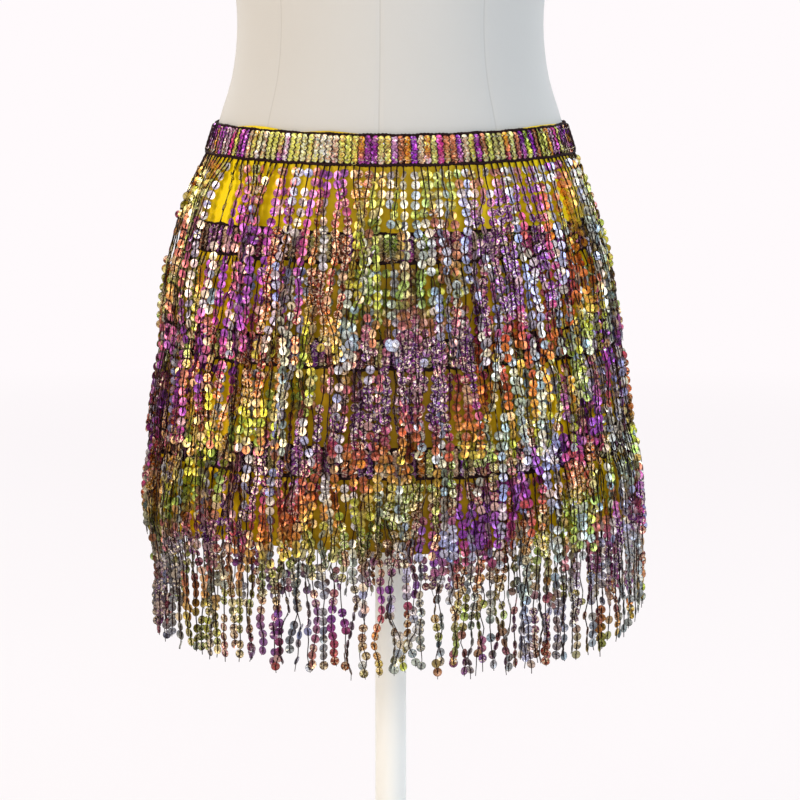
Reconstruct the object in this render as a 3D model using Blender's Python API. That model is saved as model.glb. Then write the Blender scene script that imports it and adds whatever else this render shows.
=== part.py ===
# Belly dance hip scarf with four tiers of sequin fringe, worn by a dress form on a pole stand.
# Metres, Z up, the wearer's front faces -Y. The origin is the middle of the underside of the base.
import math

import bmesh
import bpy

for old in list(bpy.data.objects):
    bpy.data.objects.remove(old, do_unlink=True)

# Driving sizes, in metres
WAIST_Z = 0.640          # height of the form's natural waist above the floor
CLOTH = 0.0012           # satin with its turned hems
TAPE = 0.0010            # sequin tape
GAP = 0.0003             # clear space between pieces that are sewn together
LAP_HALF = 0.12          # half of the centre-back lap, as an angle in radians
LAP_LIFT = 0.0034        # how far the outer end of the wrap stands off the inner end
LIFT_FROM = 0.75         # angle before the lap over which the outer end rises
STRANDS = 40             # strands a tier in this solid model
STRAND_SHARE = 0.24      # width of a strand as a share of the strand pitch
STRAND_THICK = 0.0012
NEAR = 0.0026            # standoff of a strand that lies on the satin
OVER = 0.0056            # standoff of a strand that lies on the tier below
HEADING = 0.0035         # height of the braid heading that carries the strands
FRINGE_LENGTH = 0.129
FRINGE_END = -0.4255     # height of the lowest strand ends from the waist, level all round
FRONT_SAG = 0.0065       # how far the tapes sit lower at the front than behind

POLE_R = 0.011
BASE_R = 0.150
BASE_T = 0.012
SOCKET_R = 0.024
SOCKET_TOP = 0.036
FORM_BOTTOM = -0.302

# The dress form: height from the waist, half width, half depth, shift to the back, squareness
FORM = [
    # height   width   depth   shift    square
    (-0.302,  0.1360, 0.0960,  0.0060, 2.0),
    (-0.299,  0.1460, 0.1050,  0.0060, 2.0),
    (-0.290,  0.1520, 0.1105,  0.0060, 2.0),
    (-0.270,  0.1560, 0.1135,  0.0065, 2.0),
    (-0.240,  0.1540, 0.1125,  0.0075, 2.0),
    (-0.205,  0.1490, 0.1100,  0.0085, 2.0),
    (-0.170,  0.1425, 0.1060,  0.0080, 2.0),
    (-0.135,  0.1345, 0.1005,  0.0060, 2.0),
    (-0.100,  0.1255, 0.0945,  0.0035, 2.0),
    (-0.066,  0.1183, 0.0895,  0.0010, 2.0),
    (-0.036,  0.1090, 0.0850,  0.0000, 2.0),
    ( 0.000,  0.1049, 0.0825,  0.0000, 2.0),
    ( 0.040,  0.1085, 0.0840,  0.0000, 2.0),
    ( 0.090,  0.1200, 0.0900, -0.0020, 2.1),
    ( 0.130,  0.1300, 0.1000, -0.0080, 2.1),
    ( 0.160,  0.1360, 0.1110, -0.0150, 2.1),
    ( 0.185,  0.1390, 0.1120, -0.0150, 2.1),
    ( 0.220,  0.1400, 0.1000, -0.0070, 2.2),
    ( 0.260,  0.1440, 0.0860,  0.0010, 2.3),
    ( 0.300,  0.1530, 0.0740,  0.0060, 2.4),
    ( 0.330,  0.1570, 0.0630,  0.0110, 2.4),
    ( 0.346,  0.1420, 0.0570,  0.0130, 2.3),
    ( 0.358,  0.1100, 0.0530,  0.0130, 2.1),
    ( 0.370,  0.0780, 0.0510,  0.0110, 2.0),
    ( 0.384,  0.0600, 0.0500,  0.0080, 2.0),
    ( 0.410,  0.0530, 0.0490,  0.0050, 2.0),
    ( 0.436,  0.0520, 0.0485,  0.0040, 2.0),
    ( 0.442,  0.0480, 0.0445,  0.0040, 2.0),
]

# Outer face of the satin at a height from the waist: half width, half depth, shift to the back
SATIN = [
    # height   width   depth   shift
    (-0.0560, 0.1172, 0.0900,  0.0008),
    (-0.0700, 0.1214, 0.0924,  0.0012),
    (-0.0900, 0.1265, 0.0965,  0.0028),
    (-0.1350, 0.1395, 0.1052,  0.0060),
    (-0.1550, 0.1438, 0.1086,  0.0074),
    (-0.2040, 0.1522, 0.1135,  0.0085),
    (-0.2240, 0.1552, 0.1155,  0.0080),
    (-0.2760, 0.1615, 0.1190,  0.0065),
    (-0.2960, 0.1635, 0.1203,  0.0060),
    (-0.3460, 0.1667, 0.1225,  0.0060),
]
# Heights from the waist at the sides: the top edge of the satin, the edges of the four tapes, the hem
ROWS = [-0.0630, -0.0650, -0.0850, -0.1290, -0.1485, -0.1985, -0.2180, -0.2695, -0.2895, -0.3400]
# Rows that each tape covers, top and bottom
TAPE_ROWS = [(1, 2), (3, 4), (5, 6), (7, 8)]
TAPE_NAMES = ["waist_tape", "second_tape", "third_tape", "fourth_tape"]
FRINGE_NAMES = ["first_fringe", "second_fringe", "third_fringe", "fourth_fringe"]


def table_at(table, height):
    """Values of a size table at any height, straight between its rows."""
    rows = sorted(table)
    if height <= rows[0][0]:
        low, high = rows[0], rows[1]
    else:
        low, high = rows[-2], rows[-1]
        for below, above in zip(rows, rows[1:]):
            if below[0] <= height <= above[0]:
                low, high = below, above
                break
    t = (height - low[0]) / (high[0] - low[0])
    return [p + (q - p) * t for p, q in zip(low[1:], high[1:])]


def material(name, colour, metallic=0.0, roughness=0.6):
    made = bpy.data.materials.new(name)
    made.use_nodes = True
    shader = made.node_tree.nodes["Principled BSDF"]
    shader.inputs["Base Color"].default_value = (*colour, 1.0)
    shader.inputs["Metallic"].default_value = metallic
    shader.inputs["Roughness"].default_value = roughness
    return made


def solid(name, verts, faces, look, smooth=False):
    """One closed solid, with its faces turned outwards."""
    mesh = bpy.data.meshes.new(name)
    mesh.from_pydata(verts, [], faces)
    bm = bmesh.new()
    bm.from_mesh(mesh)
    bmesh.ops.recalc_face_normals(bm, faces=bm.faces[:])
    bm.to_mesh(mesh)
    bm.free()
    mesh.materials.append(look)
    if smooth:
        mesh.polygons.foreach_set("use_smooth", [True] * len(mesh.polygons))
    obj = bpy.data.objects.new(name, mesh)
    bpy.context.scene.collection.objects.link(obj)
    return obj


# Points and stations around the hips
def around(angle, out, height):
    """A point this far out from the satin, at a height counted behind.

    Angle 0 is the centre back, and the angle runs to the wearer's right first.
    """
    turn = (angle - (2 * math.pi - LIFT_FROM)) / (LIFT_FROM - LAP_HALF - 0.02)
    turn = min(1.0, max(0.0, turn))
    lift = LAP_LIFT * turn * turn * (3 - 2 * turn)
    hold = min(1.0, max(0.0, (height - FRINGE_END) / (ROWS[8] - FRINGE_END)))
    true_height = height - FRONT_SAG * hold * ((1 - math.cos(angle)) / 2) ** 3
    width, depth, shift = table_at(SATIN, true_height)
    x = -(width + out + lift) * math.sin(angle)
    y = (depth + out + lift) * math.cos(angle) + shift
    return (x, y, WAIST_Z + true_height)


def even_angles(start, end, shares):
    """Angles that split the hip line between start and end into lengths with these shares."""
    width, depth = table_at(SATIN, -0.224)[:2]
    steps = 2000
    angles = [start + (end - start) * i / steps for i in range(steps + 1)]
    run = [0.0]
    for a, b in zip(angles, angles[1:]):
        run.append(run[-1] + math.hypot(width * (math.sin(b) - math.sin(a)),
                                        depth * (math.cos(b) - math.cos(a))))
    total = sum(shares)
    marks, found, reach = [start], 0, 0.0
    for share in shares[:-1]:
        reach += share * run[-1] / total
        while run[found + 1] < reach:
            found += 1
        t = (reach - run[found]) / (run[found + 1] - run[found])
        marks.append(angles[found] + (angles[found + 1] - angles[found]) * t)
    return marks + [end]


FRINGE_START = LAP_HALF + 0.02
FRINGE_SHARES = []
for number in range(STRANDS):
    FRINGE_SHARES += [1 - STRAND_SHARE, STRAND_SHARE]
FRINGE_SHARES.append(1 - STRAND_SHARE)
FRINGE_SHARES[0] = FRINGE_SHARES[-1] = 0.5
FRINGE_ANGLES = even_angles(FRINGE_START, 2 * math.pi + LAP_HALF, FRINGE_SHARES)
ANGLES = [-LAP_HALF, 0.0] + FRINGE_ANGLES


def wrap(angles, heights, inner, outer):
    """Points and faces of a wall that follows the satin at these angles, open at its two ends.

    The points of each station are its rows from the top, outer point first, then inner point.
    """
    verts, faces = [], []
    count = len(heights)
    for angle in angles:
        for height in heights:
            verts.append(around(angle, outer, height))
            verts.append(around(angle, inner, height))
    step = 2 * count
    for i in range(len(angles) - 1):
        here, there = i * step, (i + 1) * step
        for r in range(count - 1):
            a, b = 2 * r, 2 * r + 2
            faces.append((here + a, there + a, there + b, here + b))
            faces.append((here + a + 1, here + b + 1, there + b + 1, there + a + 1))
        faces.append((here, here + 1, there + 1, there))
        low = step - 2
        faces.append((here + low, there + low, there + low + 1, here + low + 1))
    for base in (0, (len(angles) - 1) * step):
        for r in range(count - 1):
            a, b = base + 2 * r, base + 2 * r + 2
            faces.append((a, b, b + 1, a + 1))
    return verts, faces


# Dress form
CANVAS = material("canvas", (0.72, 0.68, 0.62), roughness=0.9)
PAINT = material("stand_paint", (0.86, 0.86, 0.85), roughness=0.4)

SIDES = 36
verts, faces = [], []
for height, width, depth, shift, square in FORM:
    power = 2.0 / square
    for s in range(SIDES):
        angle = 2 * math.pi * s / SIDES
        side, front = math.sin(angle), math.cos(angle)
        verts.append((math.copysign(abs(side) ** power, side) * width,
                      math.copysign(abs(front) ** power, front) * depth + shift,
                      WAIST_Z + height))
for ring in range(len(FORM) - 1):
    for s in range(SIDES):
        t = (s + 1) % SIDES
        a, b = ring * SIDES, (ring + 1) * SIDES
        faces.append((a + s, a + t, b + t, b + s))
faces.append(tuple(range(SIDES)))
faces.append(tuple((len(FORM) - 1) * SIDES + s for s in range(SIDES)))
solid("form", verts, faces, CANVAS, smooth=True)


def turned(name, profile, sides, look):
    """A closed turned solid from (radius, height) pairs, flat at both ends."""
    verts, faces = [], []
    for radius, height in profile:
        for s in range(sides):
            angle = 2 * math.pi * s / sides
            verts.append((radius * math.cos(angle), radius * math.sin(angle), height))
    for ring in range(len(profile) - 1):
        for s in range(sides):
            t = (s + 1) % sides
            a, b = ring * sides, (ring + 1) * sides
            faces.append((a + s, a + t, b + t, b + s))
    faces.append(tuple(range(sides)))
    faces.append(tuple((len(profile) - 1) * sides + s for s in range(sides)))
    return solid(name, verts, faces, look)


turned("base", [(BASE_R - 0.002, 0.0), (BASE_R, 0.002), (BASE_R, BASE_T - 0.003),
                (BASE_R - 0.003, BASE_T)], 40, PAINT)
turned("pole_socket", [(SOCKET_R, BASE_T + GAP), (SOCKET_R, BASE_T + 0.008),
                       (POLE_R + 0.005, SOCKET_TOP)], 24, PAINT)
turned("pole", [(POLE_R, SOCKET_TOP + GAP), (POLE_R, WAIST_Z + FORM_BOTTOM - GAP)], 24, PAINT)

# Satin base
SATIN_LOOK = material("satin", (0.78, 0.60, 0.04), roughness=0.4)
FRINGE_LOOK = material("fringe_sequins", (0.34, 0.27, 0.36), metallic=0.7, roughness=0.35)
verts, faces = wrap(ANGLES, ROWS, -CLOTH, 0.0)
solid("skirt_base", verts, faces, SATIN_LOOK, smooth=True)

# Sequin tapes, each made from the satin's own points moved out
SEQUIN_LOOK = material("sequins", (0.45, 0.30, 0.42), metallic=0.7, roughness=0.35)
for name, (top, bottom) in zip(TAPE_NAMES, TAPE_ROWS):
    verts, faces = wrap(ANGLES, [ROWS[top], ROWS[bottom]], GAP, GAP + TAPE)
    solid(name, verts, faces, SEQUIN_LOOK)


# Fringes: a braid heading under each tape, with the strands drawn down from its underside
def strand_path(tier):
    """Heights and standoffs of a strand's middle line below its heading, in order."""
    root = ROWS[TAPE_ROWS[tier][1]] - GAP - HEADING
    path = [(root - 0.010, NEAR)]
    if tier == 3:
        return path + [(FRINGE_END, NEAR + 0.0015)]
    below = ROWS[TAPE_ROWS[tier + 1][1]]
    return path + [(below + 0.001, NEAR + 0.0004), (below - 0.0145, OVER), (root - FRINGE_LENGTH, OVER)]


for tier, name in enumerate(FRINGE_NAMES):
    bottom = ROWS[TAPE_ROWS[tier][1]]
    verts, faces = wrap(FRINGE_ANGLES, [bottom - GAP, bottom - GAP - HEADING], GAP, GAP + TAPE)
    for corner in [4 * i + 2 for i in range(1, 2 * STRANDS, 2)]:
        faces.remove((corner, corner + 4, corner + 5, corner + 1))
        station = corner // 4
        left, right = FRINGE_ANGLES[station], FRINGE_ANGLES[station + 1]
        ring = [corner, corner + 4, corner + 5, corner + 1]
        for height, standoff in strand_path(tier):
            first = len(verts)
            for angle, side in ((left, 0.5), (right, 0.5), (right, -0.5), (left, -0.5)):
                verts.append(around(angle, standoff + side * STRAND_THICK, height))
            new = [first, first + 1, first + 2, first + 3]
            for k in range(4):
                m = (k + 1) % 4
                faces.append((ring[k], ring[m], new[m], new[k]))
            ring = new
        faces.append(tuple(ring))
    solid(name, verts, faces, FRINGE_LOOK)
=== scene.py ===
# %% [markdown]
# # A belly dance hip scarf on a dress form
# The scarf is a wrap of yellow satin with four tapes of sequins sewn round it. Under each tape hangs a
# fringe of black threads, and each thread carries about twenty round sequins. It is worn by a canvas
# dress form on a white stand. The solid model gives the sizes and the places of all these pieces. This
# script gives them their looks. It first loads that model, and keeps its box, so that the dressed model
# can be compared with it at the end.

# %% Load the solid model
import math

import bpy
import numpy as np
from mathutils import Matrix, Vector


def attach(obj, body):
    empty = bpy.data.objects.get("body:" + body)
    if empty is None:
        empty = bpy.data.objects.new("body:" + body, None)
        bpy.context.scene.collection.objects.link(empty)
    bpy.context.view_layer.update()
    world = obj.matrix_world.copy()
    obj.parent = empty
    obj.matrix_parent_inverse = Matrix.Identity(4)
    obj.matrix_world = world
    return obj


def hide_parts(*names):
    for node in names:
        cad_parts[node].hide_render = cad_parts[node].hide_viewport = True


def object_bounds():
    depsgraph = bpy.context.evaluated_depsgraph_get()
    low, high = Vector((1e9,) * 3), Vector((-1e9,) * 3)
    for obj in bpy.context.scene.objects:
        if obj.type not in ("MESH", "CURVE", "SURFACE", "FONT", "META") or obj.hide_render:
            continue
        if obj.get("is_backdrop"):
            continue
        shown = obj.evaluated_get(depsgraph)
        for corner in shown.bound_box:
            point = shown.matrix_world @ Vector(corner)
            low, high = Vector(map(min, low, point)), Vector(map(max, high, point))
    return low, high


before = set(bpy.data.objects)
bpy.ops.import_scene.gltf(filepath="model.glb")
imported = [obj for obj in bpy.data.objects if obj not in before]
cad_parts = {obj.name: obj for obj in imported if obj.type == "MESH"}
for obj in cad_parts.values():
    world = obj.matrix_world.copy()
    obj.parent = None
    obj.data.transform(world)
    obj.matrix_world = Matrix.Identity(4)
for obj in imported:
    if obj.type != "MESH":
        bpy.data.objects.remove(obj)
solid_low, solid_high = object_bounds()
print("solid model, mm:", [round(1000 * (b - a)) for a, b in zip(solid_low, solid_high)])

# %% [markdown]
# ## The sizes that the pieces share
# A dress form is a stack of ovals. The satin follows the same body a little further out, so both are
# given by short tables of half width and half depth at heights from the natural waist. A cubic curve
# through the rows gives the soft lines of a padded body, where straight steps would show as rings.

# %% Sizes and the curve through a table
WAIST_Z = 0.640       # the form's natural waist above the floor; heights below are from here
SATIN = np.array([
    # height   width   depth   shift
    (-0.0560, 0.1172, 0.0900, 0.0008),
    (-0.0700, 0.1214, 0.0924, 0.0012),
    (-0.0900, 0.1265, 0.0965, 0.0028),
    (-0.1350, 0.1395, 0.1052, 0.0060),
    (-0.1550, 0.1438, 0.1086, 0.0074),
    (-0.2040, 0.1522, 0.1135, 0.0085),
    (-0.2240, 0.1552, 0.1155, 0.0080),
    (-0.2760, 0.1615, 0.1190, 0.0065),
    (-0.2960, 0.1635, 0.1203, 0.0060),
    (-0.3460, 0.1667, 0.1225, 0.0060),
])
SATIN_TOP, HEM = -0.0630, -0.3400
TAPE_EDGES = [(-0.0650, -0.0850), (-0.1290, -0.1485), (-0.1985, -0.2180), (-0.2695, -0.2895)]
TIERS = ["first", "second", "third", "fourth"]
LAP = 0.12            # half the centre-back lap, in radians
LAP_LIFT = 0.0034     # how far the outer end stands off the inner end
LIFT_FROM = 0.75      # how far before the lap, in radians, its outer end starts to rise
FRONT_SAG = 0.0065    # the tapes sit this much lower in front than behind
FRINGE_END = -0.4255  # the lowest strand ends
WAIST_PULL = 0.0011   # the waist edge is drawn in against the form


def eased(table, heights):
    """The table's columns at these heights, on a cubic curve through its rows."""
    rows = table[np.argsort(table[:, 0])]
    x, y = rows[:, 0], rows[:, 1:]
    slope = np.gradient(y, x, axis=0)
    h = np.clip(np.asarray(heights, float), x[0] - 0.09, x[-1] + 0.01)
    i = np.clip(np.searchsorted(x, h) - 1, 0, len(x) - 2)
    span = (x[i + 1] - x[i])[..., None]
    t = np.clip((h - x[i])[..., None] / span, 0, 1)
    beyond = (h - np.clip(h, x[0], x[-1]))[..., None]
    edge = np.where(beyond < 0, slope[0], slope[-1])
    curve = ((1 + 2 * t) * (1 - t) ** 2 * y[i] + t * (1 - t) ** 2 * span * slope[i]
             + t * t * (3 - 2 * t) * y[i + 1] + t * t * (t - 1) * span * slope[i + 1])
    return curve + beyond * edge


def step(low, high, x):
    """0 below low, 1 above high, and a soft step between."""
    t = np.clip((x - low) / (high - low), 0, 1)
    return t * t * (3 - 2 * t)


def around(angle, out, height):
    """Points this far out from the satin. Angle 0 is the centre back, and it runs to the wearer's right."""
    angle, out, height = np.broadcast_arrays(*(np.asarray(v, float) for v in (angle, out, height)))
    lift = LAP_LIFT * step(2 * math.pi - LIFT_FROM, 2 * math.pi - LAP - 0.02, angle)
    hold = np.clip((height - FRINGE_END) / (TAPE_EDGES[3][1] - FRINGE_END), 0, 1)
    true_height = height - FRONT_SAG * hold * ((1 - np.cos(angle)) / 2) ** 3
    width, depth, shift = np.moveaxis(eased(SATIN, true_height), -1, 0)
    out = out - WAIST_PULL * step(-0.086, -0.066, height)
    return np.stack([-(width + out + lift) * np.sin(angle),
                     (depth + out + lift) * np.cos(angle) + shift, WAIST_Z + true_height], -1)


def facing(angle, height):
    """The directions straight out from the body and along it, both level, at points of the satin."""
    width, depth, _ = np.moveaxis(eased(SATIN, height), -1, 0)
    out = np.stack([-np.sin(angle) * depth, np.cos(angle) * width, 0 * angle], -1)
    out /= np.linalg.norm(out, axis=-1, keepdims=True)
    along = np.stack([-out[..., 1], out[..., 0], 0 * angle], -1)
    return out, along


def even_angles(start, end, count, height):
    """Angles that split the way round at this height into even lengths."""
    fine = np.linspace(start, end, 4000)
    points = around(fine, 0.0, height)
    run = np.concatenate([[0], np.cumsum(np.linalg.norm(np.diff(points, axis=0), axis=1))])
    return np.interp(np.linspace(0, run[-1], count), run, fine), run[-1]


for tier, (top, bottom) in zip(TIERS, TAPE_EDGES):
    print(tier, "tape is", round(1000 * even_angles(0, 2 * math.pi, 2, bottom)[1]), "mm round")

# %% [markdown]
# ## The camera
# The photograph looks a little down on the hips from about 1.75 m, through a long lens. The tapes curve
# down towards the middle by about as much as level rings do when seen from 8 degrees above, and that set
# the tilt. The form stands a few millimetres left of the picture's middle, so the camera is moved
# sideways instead of being turned.

# %% Camera
CAMERA_TILT = 8
bpy.ops.object.camera_add(location=(0.0066, -1.75, WAIST_Z - 0.0137),
                          rotation=(math.radians(90 - CAMERA_TILT), 0, 0))
camera = bpy.context.object
camera.name = "camera"
camera.data.lens, camera.data.sensor_width = 113.6, 36
bpy.context.scene.camera = camera
print("lens, mm:", camera.data.lens)

# %% [markdown]
# ## Light and floor
# Sequins are small mirrors, so what stands round them matters as much as the lamps. A white room on all
# sides would turn each one into a white dot. Here a dim room holds a few large soft boxes: a warm one on
# the left, a cool one on the right, one over the camera for the white glints, one overhead, and two behind
# for the back of the scarf. The floor and the backdrop stay near white.

# %% Light and floor
scene = bpy.context.scene
scene.view_settings.view_transform = "Standard"
room = bpy.data.worlds.new("room")
scene.world = room
room.use_nodes = True
nodes, links = room.node_tree.nodes, room.node_tree.links
nodes.clear()
seen = nodes.new("ShaderNodeBackground")
seen.inputs["Color"].default_value = (1.0, 0.956, 0.973, 1)
dim = nodes.new("ShaderNodeBackground")
dim.inputs["Color"].default_value = (0.19, 0.185, 0.18, 1)
ray = nodes.new("ShaderNodeLightPath")
either = nodes.new("ShaderNodeMixShader")
output = nodes.new("ShaderNodeOutputWorld")
links.new(ray.outputs["Is Camera Ray"], either.inputs[0])
links.new(dim.outputs[0], either.inputs[1])
links.new(seen.outputs[0], either.inputs[2])
links.new(either.outputs[0], output.inputs[0])


def soft_box(name, place, aim, size, watts, colour):
    """A square lamp at a place, turned towards a point."""
    bpy.ops.object.light_add(type="AREA", location=place)
    lamp = bpy.context.object
    lamp.name = name
    lamp.data.shape, lamp.data.size, lamp.data.size_y = "RECTANGLE", *size
    lamp.data.energy, lamp.data.color = watts, colour
    way = np.array(aim, float) - np.array(place, float)
    level = math.hypot(way[0], way[1])
    lamp.rotation_euler = (math.atan2(level, -way[2]), 0, math.atan2(way[1], way[0]) - math.pi / 2)
    return lamp


hips = (0, 0, 0.45)
soft_box("warm_left", (-1.9, -1.3, 1.0), hips, (0.9, 1.3), 32, (1.0, 0.85, 0.65))
soft_box("cool_right", (1.9, -1.2, 1.0), hips, (0.9, 1.3), 22, (0.74, 0.89, 1.0))
soft_box("over_camera", (0.1, -2.2, 1.25), hips, (1.0, 0.7), 13, (1.0, 0.98, 0.97))
soft_box("overhead", (0, 0.1, 2.6), (0, 0, 0), (2.0, 2.0), 46, (1.0, 1.0, 1.0))
soft_box("back_left", (-1.5, 1.8, 1.3), hips, (1.0, 1.2), 17, (1.0, 0.97, 0.93))
soft_box("back_right", (1.6, 1.7, 1.1), hips, (1.0, 1.2), 15, (0.92, 0.96, 1.0))

# %% [markdown]
# ## Shader helpers
# Most finishes here are sums and products of a few patterns. A Math node for each step is hard to read,
# so a small class wraps a socket and lets Python's own signs add those nodes. A second class holds one
# material: it makes any node by its type, and feeds the shader.


# %% Shader helpers
class Value:
    """A socket that takes +, -, * and / with numbers and other sockets."""

    def __init__(self, finish, socket):
        self.finish, self.socket = finish, socket

    def math(self, operation, *others):
        inputs = dict(enumerate((self, *others)))
        return self.finish.node("ShaderNodeMath", {"operation": operation}, inputs)

    def __add__(self, other):
        return self.math("ADD", other)

    __radd__ = __add__

    def __mul__(self, other):
        return self.math("MULTIPLY", other)

    __rmul__ = __mul__

    def __sub__(self, other):
        return self.math("SUBTRACT", other)

    def __rsub__(self, other):
        return (self * -1) + other

    def __truediv__(self, other):
        return self.math("DIVIDE", other)

    def clamped(self):
        """The same, held between 0 and 1."""
        return self.math("MAXIMUM", 0.0).math("MINIMUM", 1.0)


class Finish:
    """One material, with its shader's fixed values given by socket name."""

    def __init__(self, name, **fixed):
        self.material = bpy.data.materials.new(name)
        self.material.use_nodes = True
        self.tree = self.material.node_tree
        self.shader = self.tree.nodes["Principled BSDF"]
        for socket, value in fixed.items():
            self.shader.inputs[socket.replace("_", " ")].default_value = value

    def node(self, kind, settings=None, inputs=None, output=0):
        """A new node of any type, with its settings and inputs, as one of its outputs."""
        made = self.tree.nodes.new(kind)
        for name, value in (settings or {}).items():
            setattr(made, name, value)
        for name, value in (inputs or {}).items():
            if isinstance(value, Value):
                self.tree.links.new(value.socket, made.inputs[name])
            else:
                made.inputs[name].default_value = value
        return Value(self, made.outputs[output])

    def feed(self, **links):
        """Link values to the shader's sockets by name."""
        for name, value in links.items():
            self.tree.links.new(value.socket, self.shader.inputs[name.replace("_", " ")])
        return self.material

    def place(self):
        """Object coordinates, in metres."""
        return self.node("ShaderNodeTexCoord", output="Object")

    def noise(self, scale, detail=2.0, where=None):
        """A soft random pattern from 0 to 1."""
        return self.node("ShaderNodeTexNoise", None,
                         {"Vector": where or self.place(), "Scale": scale, "Detail": detail})

    def blend(self, factor, first, second):
        """A colour between two, which are colours or sockets."""
        def whole(colour):
            return colour if isinstance(colour, Value) else (*colour, 1)
        return self.node("ShaderNodeMix", {"data_type": "RGBA"},
                         {0: factor, 6: whole(first), 7: whole(second)}, 2)

    def bump(self, height, depth, strength=1.0):
        """A surface direction that follows a pattern of heights."""
        return self.node("ShaderNodeBump", None,
                         {"Height": height, "Distance": depth, "Strength": strength})


print("shader helpers ready")

# %% [markdown]
# The floor is a plain pale sheet. It is stage, not part of the object. The photograph's ground is
# near white right up to its edges, so the camera sees the sheet with a pale glow added. The glow
# lights nothing, and the stand still casts its soft shadow.

# %% Floor
bpy.ops.object.select_all(action="DESELECT")
bpy.ops.mesh.primitive_plane_add(size=120)
floor = bpy.context.object
floor.name = "floor"
pale = Finish("pale_floor", Roughness=0.9)
pale.feed(Base_Color=pale.blend(pale.noise(1.5), (0.76, 0.745, 0.75), (0.80, 0.785, 0.79)))
reach = pale.node("ShaderNodeVectorMath", {"operation": "LENGTH"}, {0: pale.place()}, 1)
far = ((reach - 0.8) / 2.4).clamped()
glow = pale.node("ShaderNodeEmission", None, {"Color": (1.0, 0.956, 0.973, 1)})
ray = pale.node("ShaderNodeLightPath", output="Is Camera Ray")
either = pale.node("ShaderNodeMixShader", None, {
    0: ray * (0.80 + far * 0.20), 1: Value(pale, pale.shader.outputs[0]), 2: glow})
pale.tree.links.new(either.socket, pale.tree.nodes["Material Output"].inputs["Surface"])
floor.data.materials.append(pale.material)
floor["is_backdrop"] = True


# %% [markdown]
# ## From arrays to pieces
# The fringe has more than twelve thousand sequins. Each kind of small thing is modelled once, and numpy
# then sets all its copies into one mesh. Every piece goes through `finish_piece`, which gives it its
# material and its body, and hides the solids that it stands for.


# %% From arrays to pieces
def finish_piece(piece, slot, *nodes, material, smooth=True):
    """Dress one piece, and say which body it rides on and the solids that it replaces. Its slot is not
    used.
    """
    piece.data.materials.clear()
    piece.data.materials.append(material)
    piece.data.polygons.foreach_set("use_smooth", [smooth] * len(piece.data.polygons))
    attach(piece, "root")
    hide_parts(*nodes)
    triangles = sum(len(p.vertices) - 2 for p in piece.data.polygons)
    print(f"{piece.name}: {triangles} triangles")
    return piece


def mesh_piece(name, points, faces, uv=None, uv_name="UVMap"):
    """An object made from points and from faces that all have the same number of corners."""
    points, faces = np.asarray(points, np.float32).reshape(-1, 3), np.asarray(faces, np.int32)
    mesh = bpy.data.meshes.new(name)
    mesh.vertices.add(len(points))
    mesh.vertices.foreach_set("co", points.ravel())
    mesh.loops.add(faces.size)
    mesh.loops.foreach_set("vertex_index", faces.ravel())
    mesh.polygons.add(len(faces))
    mesh.polygons.foreach_set("loop_start", np.arange(0, faces.size, faces.shape[1], dtype=np.int32))
    if uv is not None:
        layer = mesh.uv_layers.new(name=uv_name)
        layer.uv.foreach_set("vector", np.asarray(uv, np.float32)[faces.ravel()].ravel())
    mesh.update(calc_edges=True)
    mesh.validate()
    made = bpy.data.objects.new(name, mesh)
    scene.collection.objects.link(made)
    return made


def tubes(paths, radii, side, front, sides=4):
    """Points and faces of closed tubes. paths is tubes x stations x 3. side and front span each ring,
    and side, front and the way along the path are right-handed, so that the faces point outwards."""
    count, stations = paths.shape[:2]
    turn = 2 * math.pi * (np.arange(sides) + 0.5) / sides
    ring = (np.cos(turn)[:, None] * side[..., None, :] + np.sin(turn)[:, None] * front[..., None, :])
    points = paths[..., None, :] + np.asarray(radii)[..., None, None] * ring
    first = (np.arange(count)[:, None, None] * stations + np.arange(stations - 1)[None, :, None]) * sides
    a = first + np.arange(sides)
    b = first + (np.arange(sides) + 1) % sides
    walls = np.stack([a, b, b + sides, a + sides], -1).reshape(-1, 4)
    ends = []
    for station, order in ((0, slice(None, None, -1)), (stations - 1, slice(None))):
        start = (np.arange(count) * stations + station) * sides
        corners = start[:, None] + np.arange(sides)[order]
        for k in range(0, sides - 2, 2):
            ends.append(np.stack([corners[:, 0], corners[:, k + 1], corners[:, k + 2],
                                  corners[:, min(k + 3, sides - 1)]], -1))
    return points.reshape(-1, 3), np.concatenate([walls, *ends])


print("piece helpers ready")

# %% [markdown]
# ## The dress form
# A dress form is a padded shell covered with canvas panels, sewn together along the princess seams, the
# side seams and the centre lines. It could be sculpted, but its maker thinks in ovals at heights, so it
# is drawn up here in the same way: a circle is extruded ring by ring, and each ring is then eased to
# its oval. The cloth ends in a flat neck and a flat underside, both hidden or plain.

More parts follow.
